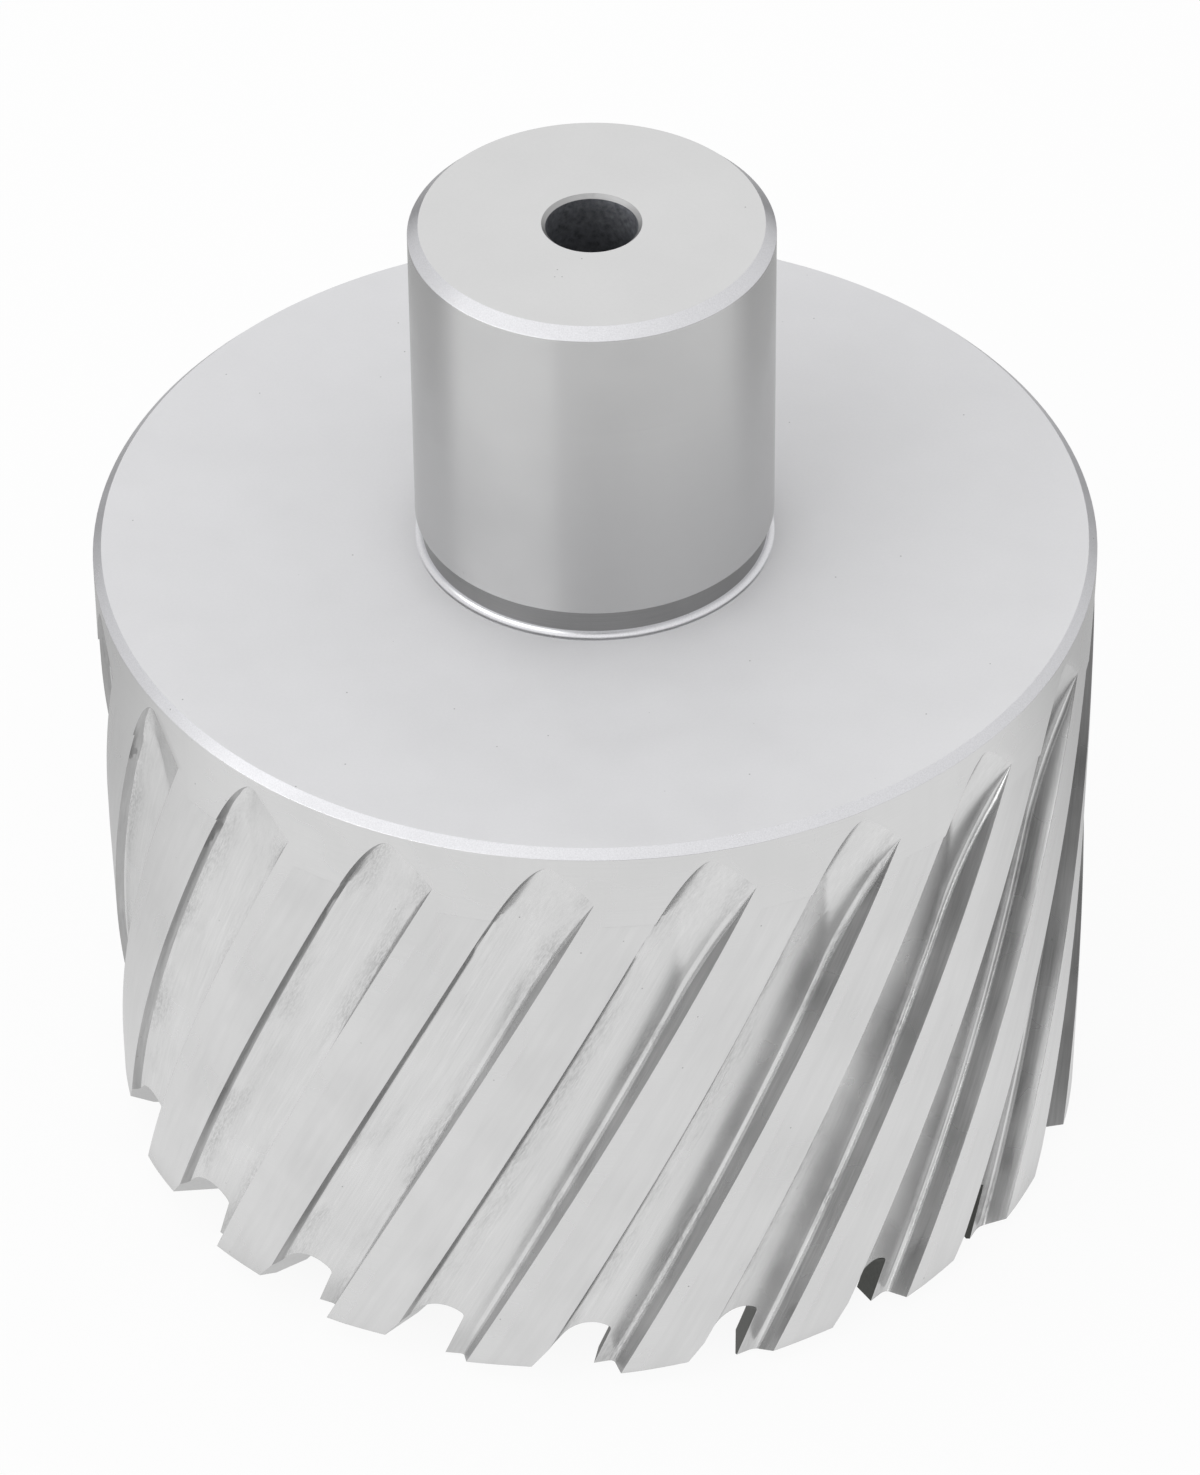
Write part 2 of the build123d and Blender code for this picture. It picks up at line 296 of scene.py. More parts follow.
flute = {
    "depth": 2.35,            # at the foot of the rake wall
    "rakeSet": 0.3,           # foot of the rake wall ahead of its edge
    "heelDepth": 0.95,
    "heelDraft": 25.0,        # degrees
    "hollow": 0.06,           # of the floor below its chord, flatter than the solid's 0.28
    "rakeFillet": 0.55,
    "heelFillet": 0.45,
    "wheelRadius": 76.2,      # the wheel that leaves the run-out below the shoulder
    "wheelEdge": 2.1,
    "wheelFall": 4.0,         # slope of the wheel's side, past its rounded edge
    "wheelSteps": 8,          # of the search for a ray's crossing with the rounded wheel
    "wheelRound": 1.7,        # width of the run-out's rounded heel side
    "wheelRoom": 0.05,
    "end": 5.5,               # from the shoulder down to the end of the run-out
    "fade": 14.8,             # length of the run-out
    "wallPart": 0.6,          # most of a wall that its fillet takes
    "rakePart": 0.3,          # most of the floor's width that the rake's fillet takes
    "heelPart": 0.4,          # and the heel's
    "scan": 161,              # azimuths tried for the floor's deepest place
    "topScan": 241,           # and for the top of the flutes
    "rakeSearch": 1.2,        # how far down the rake wall its foot is looked for, in depths
    "openBy": 1e-6,           # a floor this far below the surface counts as cut
    "tiny": 1e-9,
    "margin": 1.6,            # land's full-radius strip behind each rake edge
    "relief": 0.15,           # of the land at its heel
    "reliefStart": 8.2,       # below the shoulder
}
# points across each stretch of a tooth, and faces of the heel's fillet that take its wall's painted
# shade
fluteGrid = {"heelWall": 2, "heelRound": 7, "heelDark": 3, "floor": 14,
             "rakeRound": 6, "rakeWall": 3, "land": 8}
marginShare = flute["margin"] / (pitch * cutter["radius"] - cutter["fluteWidth"])
floorRadius = cutter["radius"] - flute["depth"]
mouthTurn = cutter["fluteWidth"] / cutter["radius"]
heelLean = radians(flute["heelDraft"]) + mouthTurn
heelWay = np.array([-sin(heelLean), cos(heelLean)])
rakeEdge = np.array([0.0, cutter["radius"]])
rakeFoot = np.array([-flute["rakeSet"], floorRadius])
heelEdge = cutter["radius"] * np.array([-sin(mouthTurn), cos(mouthTurn)])
heelLength = flute["heelDepth"] / cos(radians(flute["heelDraft"]))
heelFoot = heelEdge - heelWay * heelLength
# floor arc: through both feet, its middle one hollow below the chord
chord = rakeFoot - heelFoot
floorArcRadius = (chord @ chord / 4 + flute["hollow"] ** 2) / (2 * flute["hollow"])
outward = np.array([-chord[1], chord[0]]) / np.hypot(*chord)
floorCentre = (rakeFoot + heelFoot) / 2 + outward * (floorArcRadius - flute["hollow"])
# last place of the wheel, touching the rake foot where the run-out begins
contactHeight = cutter["bodyLength"] - flute["end"] - flute["fade"]
contactTurn = twistAt(contactHeight) - flute["rakeSet"] / floorRadius
swivel = radians(cutter["helix"])
outVector = np.array([sin(contactTurn), -cos(contactTurn), 0.0])
sideVector = np.array([cos(contactTurn), sin(contactTurn), 0.0])
upVector = np.array([0.0, 0.0, 1.0])
wheelAxis = sideVector * cos(swivel) - upVector * sin(swivel)
wheelWay = sideVector * sin(swivel) + upVector * cos(swivel)
contactPoint = outVector * floorRadius + upVector * contactHeight
wheelCentre = outVector * (floorRadius + flute["wheelRadius"]) + upVector * contactHeight
wheelSide = flute["wheelRoom"] + cos(swivel) * (
    cutter["fluteWidth"] - flute["heelDepth"] * tan(radians(flute["heelDraft"])))


def floorAt(turn, z):
    # radius of the flute's floor on rays from the axis: the nearer crossing of each ray with the
    # floor arc, lifted above the contact plane to the nearer crossing with the wheel
    across = floorCentre[0] * np.sin(turn) + floorCentre[1] * np.cos(turn)
    arc = across - np.sqrt(np.maximum(
        across ** 2 - floorCentre @ floorCentre + floorArcRadius ** 2, 0))
    azimuth = turn + twistAt(z)
    ray = np.stack([np.sin(azimuth), -np.cos(azimuth), np.zeros_like(azimuth)], -1)
    start = np.zeros_like(ray)
    start[..., 2] = z
    start -= wheelCentre
    rayAlong, startAlong = ray @ wheelAxis, start @ wheelAxis
    square = 1 - rayAlong ** 2
    half = (ray * start).sum(-1) - rayAlong * startAlong
    rest = (start ** 2).sum(-1) - startAlong ** 2
    wheel = np.full_like(azimuth, cutter["radius"])
    edge = flute["wheelEdge"]
    for _ in range(flute["wheelSteps"]):
        # the wheel's rim is rounded on its heel side, so its radius falls towards that side
        inset = np.maximum(edge - wheelSide - (wheel * rayAlong + startAlong), 0)
        rounded = np.sqrt(np.maximum(edge ** 2 - inset ** 2, 0))
        fallen = flute["wheelFall"] * np.maximum(inset - edge, 0)
        rim = flute["wheelRadius"] - edge + rounded - fallen
        root = np.sqrt(np.maximum(half ** 2 - square * (rest - rim ** 2), 0))
        wheel = (-half - root) / square
    point = ray * wheel[..., None]
    point[..., 2] += z
    above = (point - contactPoint) @ wheelWay > 0
    return np.where(above, np.maximum(arc, wheel), arc)


def bisect(test, low, high, steps=40):
    # where test turns from true at low to false at high, for whole rows at once
    low, high = np.array(low, float), np.array(high, float)
    for _ in range(steps):
        middle = (low + high) / 2
        good = test(middle)
        low = np.where(good, middle, low)
        high = np.where(good, high, middle)
    return low


def bend(start, corner, end, count):
    # quadratic curve from start to end that leaves and arrives along the corner's two sides
    s = np.linspace(0, 1, count)[:, None, None]
    return (1 - s) ** 2 * start + 2 * s * (1 - s) * corner + s ** 2 * end


def fluteRows(z):
    # flute section at each height z, from heel edge to rake edge, as (turn, radius) arrays
    # with one column per point: heel wall, heel fillet, floor, rake fillet, rake wall
    radius = cutter["radius"]
    relieved = z < cutter["bodyLength"] - flute["reliefStart"]
    topDepth = np.where(relieved, flute["relief"] / cos(radians(flute["heelDraft"])), 0.0)

    def onHeel(s):
        x = heelEdge[0] - heelWay[0] * s
        y = heelEdge[1] - heelWay[1] * s
        return polar(x, y)

    def onRake(s):
        x = rakeEdge[0] + (rakeFoot - rakeEdge)[0] * s
        y = rakeEdge[1] + (rakeFoot - rakeEdge)[1] * s
        return polar(x, y)

    # deepest place of the floor, then the ends of the opening on both sides of it
    scan = np.linspace(-mouthTurn, 0, flute["scan"])
    depths = np.stack([floorAt(np.full_like(z, t), z) for t in scan])
    deepest = scan[np.argmin(depths, 0)]
    right = bisect(lambda t: floorAt(t, z) < radius, deepest, np.full_like(z, 0.0))
    rimTurn, rimRadius = onHeel(topDepth)
    left = bisect(lambda t: floorAt(t, z) < rimRadius, deepest, rimTurn)
    # feet of both walls, where each wall's line meets the floor
    rakeOpen = floorAt(np.zeros_like(z), z) < radius - flute["openBy"]
    heelOpen = floorAt(rimTurn, z) < rimRadius - flute["openBy"]
    rakeDown = bisect(lambda s: onRake(s)[1] > floorAt(onRake(s)[0], z),
                      np.zeros_like(z), np.full_like(z, flute["rakeSearch"]))
    heelDown = bisect(lambda s: onHeel(s)[1] > floorAt(onHeel(s)[0], z),
                      topDepth, np.full_like(z, 2 * heelLength))
    rakeDown = np.where(rakeOpen, rakeDown, 0)
    heelDown = np.where(heelOpen, heelDown, topDepth)
    rakeCorner = np.where(rakeOpen, onRake(rakeDown), np.stack([right, np.full_like(z, radius)]))
    heelCorner = np.where(heelOpen, onHeel(heelDown), np.stack([left, rimRadius]))
    rakeTop = np.where(rakeOpen, np.stack([0 * z, 0 * z + radius]), rakeCorner)
    heelTop = np.where(heelOpen, np.stack([rimTurn, rimRadius]), heelCorner)
    # fillets shrink with the walls
    span = (rakeCorner[0] - heelCorner[0]) * radius
    tiny = flute["tiny"]
    rakeSize = np.minimum(flute["rakeFillet"], flute["wallPart"] * rakeDown * flute["depth"])
    heelSize = np.minimum(flute["heelFillet"], flute["wallPart"] * (heelDown - topDepth))
    rakeShare = np.where(rakeDown > tiny,
                         rakeSize / np.maximum(rakeDown * flute["depth"], tiny), 0)
    heelShare = np.where(heelDown - topDepth > tiny,
                         heelSize / np.maximum(heelDown - topDepth, tiny), 0)
    rakeStart = rakeCorner + (rakeTop - rakeCorner) * rakeShare
    heelStart = heelCorner + (heelTop - heelCorner) * heelShare
    rakeTurn = rakeCorner[0] - np.minimum(rakeSize, flute["rakePart"] * span) / radius
    heelReach = np.where(heelOpen, heelSize, flute["wheelRound"])
    heelTurn = heelCorner[0] + np.minimum(heelReach, flute["heelPart"] * span) / radius
    rakeEnd = np.stack([rakeTurn, floorAt(rakeTurn, z)])
    heelEnd = np.stack([heelTurn, floorAt(heelTurn, z)])
    heelWall = np.linspace(heelTop, heelStart, fluteGrid["heelWall"])
    heelRound = bend(heelStart, heelCorner, heelEnd, fluteGrid["heelRound"])
    # where the wall has run out, the same columns follow the wheel's rounded side
    share = np.linspace(0, 1, fluteGrid["heelRound"])[:, None] ** 2
    rounded = heelCorner[0] + (heelTurn - heelCorner[0]) * share
    rounded = np.stack([rounded, floorAt(rounded, np.broadcast_to(z, rounded.shape))], 1)
    rounded[0] = heelCorner
    heelRound = np.where(heelOpen, heelRound, rounded)
    turns = np.linspace(heelTurn, rakeTurn, fluteGrid["floor"])
    floor = np.stack([turns, floorAt(turns, np.broadcast_to(z, turns.shape))], 1)
    rakeRound = bend(rakeEnd, rakeCorner, rakeStart, fluteGrid["rakeRound"])
    rakeWall = np.linspace(rakeStart, rakeTop, fluteGrid["rakeWall"])
    section = np.concatenate([heelWall, heelRound[1:], floor[1:], rakeRound[1:], rakeWall[1:]])
    return section[:, 0].T, section[:, 1].T


def toothRows(z):
    # one pitch at each height z: the land behind the last tooth's rake edge, then the flute.
    # The land falls evenly from the margin to its heel, below the level where its relief starts
    fluteTurns, fluteRadii = fluteRows(z)
    start = fluteTurns[:, -1:] - pitch
    share = np.linspace(1, 1 / marginShare, fluteGrid["land"])[:-1]
    share = np.concatenate([[0, 0.5], share]) * marginShare
    landTurns = start + (fluteTurns[:, :1] - start) * share
    behind = (landTurns + pitch) * cutter["radius"] - flute["margin"]
    landWidth = pitch * cutter["radius"] - cutter["fluteWidth"] - flute["margin"]
    fall = flute["relief"] * np.clip(behind / landWidth, 0, 1)
    relieved = (z < cutter["bodyLength"] - flute["reliefStart"])[:, None]
    landRadii = cutter["radius"] - np.where(relieved, fall, 0)
    return np.hstack([landTurns, fluteTurns[:, :-1]]), np.hstack([landRadii, fluteRadii[:, :-1]])


def topOfFlutes():
    # highest level at which the floor still lies below the body's surface
    scan = np.linspace(-mouthTurn, 0, flute["topScan"])

    def isOpen(z):
        lowest = [floorAt(scan, np.full_like(scan, level)).min() for level in z]
        return np.array(lowest) < cutter["radius"]
    low = np.array([cutter["bodyLength"] - flute["end"] - 1])
    return float(bisect(isOpen, low, np.array([cutter["bodyLength"]]), steps=30)[0])


fluteTop = topOfFlutes()
rakeTip = float(bisect(lambda level: floorAt(np.zeros(1), level) < cutter["radius"],
                       np.array([contactHeight]), np.array([fluteTop]))[0])
print("  flutes end", round(cutter["bodyLength"] - fluteTop, 2),
      "mm below the shoulder, rake edges", round(cutter["bodyLength"] - rakeTip, 2))

print("stage 3: turned and fluted body")

blank = {
    "chamfer": 0.77,
    "cupFillet": 2.0,
    "shankRadius": 15.875,
    "shankChamfer": 0.95,
    "neckRadius": 15.3,
    "neckHeight": 3.0,
    "neckFillet": 0.6,
    "pilotRadius": 4.0,
    "pilotChamfer": 0.35,
    "filletPoints": 9,
    "foot": -1.0,             # the blank reaches this far below the tips, and is cut back
    "columnsTurned": 2,       # pitches by which the bore's columns lag behind the rim's
    "boreLevels": (36.0, 22.0, 9.0),
}
# rows of the fluted stretch, from the foot up
bodyRows = {
    "gullets": 7, "gulletTop": 7.4,
    "straight": 16, "start": 9.0,     # from this level up to the wheel's contact
    "runOut": 22,                     # on to where the land's relief starts
    "unrelieved": 6,                  # on to the tips of the rake edges
    "end": 22,                        # on to the top of the flutes
    "gap": 0.01, "rakeGap": 0.05, "rimGap": 0.03,     # heights left between two stretches
}


def arcPoints(centre, radius, start, end, count):
    # count points of a circle about centre, from angle start to angle end in degrees
    angle = np.radians(np.linspace(start, end, count))
    return np.stack([centre[0] + radius * np.cos(angle), centre[1] + radius * np.sin(angle)], 1)


def turnedProfile():
    # (radius, height) of the turned stretch, from the shoulder's rim over the shank and down the
    # pilot bore into the cup, and the finish of the surface that starts at each point
    shoulder, top = cutter["bodyLength"], cutter["top"]
    neck, fillet = blank["neckRadius"], blank["neckFillet"]
    ledge = shoulder + blank["neckHeight"]
    cup, cupFillet = cutter["cupDepth"], blank["cupFillet"]
    shank, chamfer = blank["shankRadius"], blank["shankChamfer"]
    pilot, pilotChamfer = blank["pilotRadius"], blank["pilotChamfer"]
    rim = cutter["radius"] - blank["chamfer"]
    stretches = [
        ("faceSteel", [(rim, shoulder), ((rim + neck) / 2, shoulder)]),
        ("chamferSteel", arcPoints((neck + fillet, shoulder + fillet), fillet, 270, 180,
                                   blank["filletPoints"])[:-1]),
        # the neck's groove is painted dark as shade
        ("neckSteel", [(neck, shoulder + fillet), (neck, ledge)]),
        ("shankSteel", [(shank, ledge)]),
        ("chamferSteel", [(shank, top - chamfer)]),
        # the shank's top is painted a little darker as shade
        ("topSteel", [(shank - chamfer, top)]),
        # the pilot bore and the cup take painted shade, darkest on the bore's wall
        ("boreSteel", [(pilot + pilotChamfer, top)]),
        ("scaleSteel", [(pilot, top - pilotChamfer), (pilot, cup + pilotChamfer)]),
        ("boreSteel", [(pilot + pilotChamfer, cup)]),
        ("boreSteel", arcPoints((boreRadius - cupFillet, cup - cupFillet), cupFillet, 90, 0,
                                blank["filletPoints"])),
    ]
    names = [name for name, points in stretches for _ in points]
    return np.concatenate([points for _, points in stretches]), names


def bodyGrid():
    # closed grid of points: fluted rows from foot to chamfer, the turned rows, then the bore down
    # to the foot again. A row's points run round the axis; each is radius, turn and height. With
    # the points go each quad's finish, and the columns by which the last row lags the first
    rows = bodyRows
    reliefLevel = cutter["bodyLength"] - flute["reliefStart"]
    fade = np.linspace(1, 0, rows["end"])[:-1] ** 2
    heights = np.concatenate([
        np.linspace(blank["foot"], rows["gulletTop"], rows["gullets"]),
        np.linspace(rows["start"], contactHeight, rows["straight"]),
        np.linspace(contactHeight, reliefLevel - rows["gap"], rows["runOut"])[1:],
        np.linspace(reliefLevel + rows["gap"], rakeTip - rows["rakeGap"], rows["unrelieved"]),
        fluteTop - (fluteTop - rakeTip) * fade,
    ])
    turns, radii = toothRows(heights)
    flutedRows = len(heights)
    relievedRows = int((heights < reliefLevel).sum())
    chamferLevel = cutter["bodyLength"] - blank["chamfer"]
    heights = np.append(heights, [fluteTop + rows["rimGap"], chamferLevel])
    turns = np.vstack([turns, turns[-1:], turns[-1:]])
    radii = np.vstack([radii, np.full((2, radii.shape[1]), cutter["radius"])])
    starts = firstTooth + pitch * np.arange(cutter["teeth"])
    azimuths = (starts[None, :, None] + turns[:, None, :] + twistAt(heights)[:, None, None])
    azimuths = azimuths.reshape(len(heights), -1)
    radii = np.tile(radii, (1, cutter["teeth"]))
    levels = np.broadcast_to(heights[:, None], radii.shape)
    # turned rows keep the columns of the top fluted row
    profile, turnedFinish = turnedProfile()
    lathe = np.ones((1, radii.shape[1]))
    # bore rows lead the columns back to those of the foot, a whole number of pitches round
    shift = blank["columnsTurned"] * turns.shape[1]
    footAzimuths = np.roll(azimuths[0], -shift)
    footAzimuths = np.where(footAzimuths < azimuths[0], footAzimuths + 2 * pi, footAzimuths)
    boreLevels = np.array([*blank["boreLevels"], blank["foot"]])
    lead = ((boreLevels - profile[-1, 1]) / (boreLevels[-1] - profile[-1, 1]))[:, None]
    boreAzimuths = azimuths[-1] + (footAzimuths - azimuths[-1]) * lead
    azimuths = np.vstack([azimuths, azimuths[-1] * np.ones((len(profile), 1)), boreAzimuths])
    boreRadii = np.full((len(boreLevels), radii.shape[1]), boreRadius)
    radii = np.vstack([radii, profile[:, :1] * lathe, boreRadii])
    levels = np.vstack([levels, profile[:, 1:] * lathe, boreLevels[:, None] * lathe])
    points = np.stack([radii * np.sin(azimuths), -radii * np.cos(azimuths), levels], -1)
    # finishes: by column in the fluted rows, by row elsewhere; the bore's rows take its painted
    # shade
    rowFinish = (["landSteel"] * (flutedRows + 1) + ["chamferSteel"] + turnedFinish
                 + ["boreSteel"] * len(boreLevels))
    rowFinish = np.array([finishOrder.index(name) for name in rowFinish])
    finish = rowFinish[:, None] * np.ones(radii.shape[1], int)
    grid = fluteGrid
    # the heel's wall and the first faces of its fillet, and the rake wall, take painted shade
    columnFinish = (["landSteel"] * 2 + ["reliefSteel"] * (grid["land"] - 1)
                    + ["heelSteel"] * (grid["heelWall"] - 1 + grid["heelDark"])
                    + ["fluteSteel"] * (grid["heelRound"] - 1 - grid["heelDark"])
                    + ["fluteSteel"] * (grid["floor"] + grid["rakeRound"] - 2)
                    + ["rakeSteel"] * (grid["rakeWall"] - 1))
    across = np.tile([finishOrder.index(name) for name in columnFinish], cutter["teeth"])
    finish[:flutedRows - 1] = across
    unrelieved = finish[relievedRows:flutedRows - 1]
    unrelieved[unrelieved == finishOrder.index("reliefSteel")] = finishOrder.index("landSteel")
    return points, finish, shift


def gridFaces(rows, columns, shift):
    # quads of a grid that closes both ways, its last row joined to the first one shift columns on
    index = np.arange(rows * columns).reshape(rows, columns)
    index = np.vstack([index, np.roll(index[:1], -shift, 1)])
    ahead = np.roll(index, -1, 1)
    return np.stack([index[:-1], ahead[:-1], ahead[1:], index[1:]], -1).reshape(-1, 4)


def newObject(name, points, faces, finish=None):
    # points in millimetres, faces as lists or as an array of equal rows, finish as one number
    # for each face among the steels
    mesh = bpy.data.meshes.new(name)
    places = np.asarray(points).reshape(-1, 3) * mm
    mesh.from_pydata(places.tolist(), [], [list(face) for face in faces])
    if finish is not None:
        for material in steels:
            mesh.materials.append(material)
        mesh.polygons.foreach_set("material_index", np.asarray(finish, np.int32).ravel())
    mesh.update()
    piece = bpy.data.objects.new(name, mesh)
    bpy.context.scene.collection.objects.link(piece)
    return piece


def mergeDoubles(mesh, distance, triangles=False):
    # points that coincide become one, and faces that shrink to a line go. As triangles, made
    # again after the thin ones went, the faces can't fold over themselves
    work = bmesh.new()
    work.from_mesh(mesh)
    bmesh.ops.remove_doubles(work, verts=work.verts, dist=distance)
    if triangles:
        for _ in range(2):
            bmesh.ops.dissolve_degenerate(work, edges=work.edges, dist=distance)
            bmesh.ops.triangulate(work, faces=work.faces, ngon_method="BEAUTY")
    work.to_mesh(mesh)
    work.free()


merging = {"grid": 0.0005, "cut": 0.002}      # points nearer than this are one, in millimetres
points, finish, shift = bodyGrid()
steel = newObject("cutterSteel", points, gridFaces(*points.shape[:2], shift), finish)
mergeDoubles(steel.data, merging["grid"] * mm)
print("  body grid", points.shape[:2], "faces", len(steel.data.polygons))

print("stage 4: teeth, gullets and drive flats")

tooth = {
    "plainSlope": 11.7,       # degrees, falling from the outer corner to the bore
    "crestSlope": 16.0,       # degrees, rising from the crest to the bore
    "crestSet": 0.3,          # crest inside the rake wall's foot
    "webLead": 2.62,          # web's cutting corner ahead of the outer corner
    "webRake": 25.0,
    "gulletSlope": 36.0,      # degrees by which the gullet's floor falls inwards
    "gulletHeight": 4.82,
    "crownRadius": 3.2,
    "crownPoints": 28,
    "crownSet": 2.75,
    "crownCorner": 0.35,
    "cornerPoints": 7,
    "heelTrim": 0.1,
    "endGap": 0.2,            # between one tooth's end tool and the next one's
    "over": 1.6,              # tools reach this far past the steel
}
sharpAngle = 28.0             # degrees, above which an edge between two faces shows
# flats milled into the shank, turned in degrees from the rear, their middle above the shoulder
driveFlat = {"count": 2, "spacing": 90.0, "turn": 15.0, "depth": 1.9, "length": 16.0, "rise": 18.0}
crestRadius = floorRadius - tooth["crestSet"]
endRise = tan(radians(cutter["endRelief"]))


def prism(profile, origin, across, up, way, near, far):
    # a closed profile carried straight along a way: its points stand on the across and up axes
    # at origin, once near and once far along the way, with a flat cap on each end
    across, up, way = (np.array(axis, float) for axis in (across, up, way))
    flat = np.array(origin, float) + profile[:, :1] * across + profile[:, 1:] * up
    points = np.stack([flat + way * near, flat + way * far])
    count = len(profile)
    first = np.arange(count)
    after = np.roll(first, -1)
    sides = np.stack([first, after, after + count, first + count], 1).tolist()
    if np.cross(across, up) @ way * (far - near) * profileTurn(profile) > 0:
        caps = [first[::-1].tolist(), (first + count).tolist()]
    else:
        sides = [side[::-1] for side in sides]
        caps = [first.tolist(), (first + count)[::-1].tolist()]
    return points.reshape(-1, 3), sides + caps


def profileTurn(profile):
    # positive where the profile runs anticlockwise: twice its signed area
    x, y = profile.T
    return float(x @ np.roll(y, -1) - y @ np.roll(x, -1))


def aroundAxis(name, part, turns):
    # copies of a shape turned about the cutter's axis, in one object, with a finish for each face
    (points, faces), finishNames = part
    every, joined = [], []
    for number, turn in enumerate(turns):
        c, s = cos(turn), sin(turn)
        every.append(points @ np.array([[c, s, 0], [-s, c, 0], [0, 0, 1]]))
        joined += [[index + number * len(points) for index in face] for face in faces]
    finish = [finishOrder.index(name) for name in finishNames]
    return newObject(name, np.concatenate(every), joined, finish * len(turns))


def toothEndShape(crested):
    # what lies below one tooth's end faces: the edge line across the wall, carried back and up
    # at the relief angle
    over = tooth["over"]
    outer, inner = cutter["radius"] + over, boreRadius - over
    corner = cutter["cornerHeight"]
    if crested:
        crestHeight = tooth["webLead"] * endRise
        outerSlope = (corner - crestHeight) / (cutter["radius"] - crestRadius)
        innerHeight = crestHeight + (crestRadius - inner) * tan(radians(tooth["crestSlope"]))
        line = [(inner, innerHeight), (crestRadius, crestHeight),
                (outer, corner + outerSlope * over)]
    else:
        fall = tan(radians(tooth["plainSlope"]))
        line = [(inner, corner - (cutter["radius"] - inner) * fall), (outer, corner + over * fall)]
    profile = np.array(line + [(outer, -corner), (inner, -corner)])
    ahead = (cutter["fluteWidth"] + tooth["webLead"]) / 2
    behind = pitch * cutter["radius"] - ahead - tooth["endGap"]
    shape = prism(profile, (0, 0, 0), (0, -1, 0), (0, 0, 1), (1, 0, endRise), -ahead, behind)
    return shape, ["endSteel"] * len(shape[1])


def gulletProfile():
    # hooked outline square to the grinding line: up the heel side, tangent to the crown, round
    # the crown, and down the web's rake face
    slope = radians(tooth["gulletSlope"])
    heelOut = cutter["radius"] * cos(mouthTurn) - crestRadius
    heelUp = cutter["cornerHeight"] + (pitch * cutter["radius"] - cutter["fluteWidth"]) * endRise
    heel = np.array([-cutter["radius"] * sin(mouthTurn) - tooth["heelTrim"],
                     heelUp * cos(slope) - heelOut * sin(slope)])
    radius = tooth["crownRadius"]
    centre = np.array([-tooth["crownSet"], tooth["gulletHeight"] - radius])
    gap = centre - heel
    distance = np.hypot(*gap)
    tangentAngle = np.arctan2(gap[1], gap[0]) + np.arcsin(radius / distance)
    tangentWay = np.array([cos(tangentAngle), sin(tangentAngle)])
    low = -2 * cutter["cornerHeight"]
    heelLow = heel + tangentWay * (low - heel[1]) / tangentWay[1]
    # rake face: a leaning line, rounded off against the inside of the crown circle
    lean = radians(tooth["webRake"])
    faceWay = np.array([sin(lean), cos(lean)])
    faceSide = np.array([-cos(lean), sin(lean)])
    foot = np.array([-tooth["webLead"], 0.0])
    corner = tooth["crownCorner"]
    inset = foot + faceSide * corner - centre
    across = inset @ faceWay
    along = -across + np.sqrt(across ** 2 - inset @ inset + (radius - corner) ** 2)
    cornerCentre = foot + faceSide * corner + faceWay * along
    startAngle = np.degrees(tangentAngle) + 90
    cornerAngle = np.degrees(np.arctan2(*(cornerCentre - centre)[::-1]))
    crown = arcPoints(centre, radius, startAngle, cornerAngle, tooth["crownPoints"])
    rounding = arcPoints(cornerCentre, corner, cornerAngle, -np.degrees(lean),
                         tooth["cornerPoints"])
    faceLow = foot + faceWay * low / cos(lean)
    return np.concatenate([[heelLow], crown, rounding[1:], [faceLow]])


def gulletShape():
    # the gullet's outline carried outwards and up along the grinding line
    slope = radians(tooth["gulletSlope"])
    over = tooth["over"]
    inwards = (crestRadius - boreRadius + 2 * over) / cos(slope)
    outwards = (cutter["radius"] + over - crestRadius) / cos(slope)
    shape = prism(gulletProfile(), (0, -crestRadius, 0), (1, 0, 0), (0, sin(slope), cos(slope)),
                  (0, -cos(slope), sin(slope)), -inwards, outwards)
    # the heel side and the crown take the ends' finish, the web's rake face a near-black grey:
    # painted shadow
    bright = tooth["crownPoints"]
    return shape, ["endSteel"] * bright + ["gulletSteel"] * (len(shape[1]) - bright)


def flatShape():
    # a block that mills one drive flat into the rear of the shank
    radius, half = blank["shankRadius"], driveFlat["length"] / 2
    profile = np.array([(-radius, -half), (radius, -half), (radius, half), (-radius, half)])
    middle = cutter["bodyLength"] + driveFlat["rise"]
    shape = prism(profile, (0, 0, middle), (1, 0, 0), (0, 0, 1), (0, 1, 0),
                  radius - driveFlat["depth"], radius + tooth["over"])
    return shape, ["endSteel"] * len(shape[1])


def cutAway(piece, tools):
    # each tool is taken off the piece in turn, and then deleted
    for tool in tools:
        cut = piece.modifiers.new(tool.name, "BOOLEAN")
        cut.operation = "DIFFERENCE"
        cut.solver = "MANIFOLD"
        cut.object = tool
    bpy.context.view_layer.update()
    evaluated = piece.evaluated_get(bpy.context.evaluated_depsgraph_get())
    mesh = bpy.data.meshes.new_from_object(evaluated)
    piece.modifiers.clear()
    piece.data = mesh
    for tool in tools:
        bpy.data.objects.remove(tool)


toothTurns = firstTooth + pitch * np.arange(cutter["teeth"])
flatSteps = np.arange(driveFlat["count"]) - 0.5
flatTurns = np.radians(driveFlat["turn"] + driveFlat["spacing"] * flatSteps)
cutAway(steel, [
    aroundAxis("plainEnds", toothEndShape(False), toothTurns[0::2]),
    aroundAxis("crestedEnds", toothEndShape(True), toothTurns[1::2]),
    aroundAxis("gullets", gulletShape(), toothTurns),
    aroundAxis("driveFlats", flatShape(), flatTurns),
])
mergeDoubles(steel.data, merging["cut"] * mm, triangles=True)
print("  faces", len(steel.data.polygons))

steel.data.polygons.foreach_set("use_smooth", np.ones(len(steel.data.polygons), bool))
steel.data.set_sharp_from_angle(angle=radians(sharpAngle))
steel.data.update()
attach(steel, "root")
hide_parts("cutter_body")

print("stage 5: camera, floor and light")

scene = bpy.context.scene
for spare in [o for o in bpy.data.objects if o.type in {"LIGHT", "CAMERA"}]:
    bpy.data.objects.remove(spare)

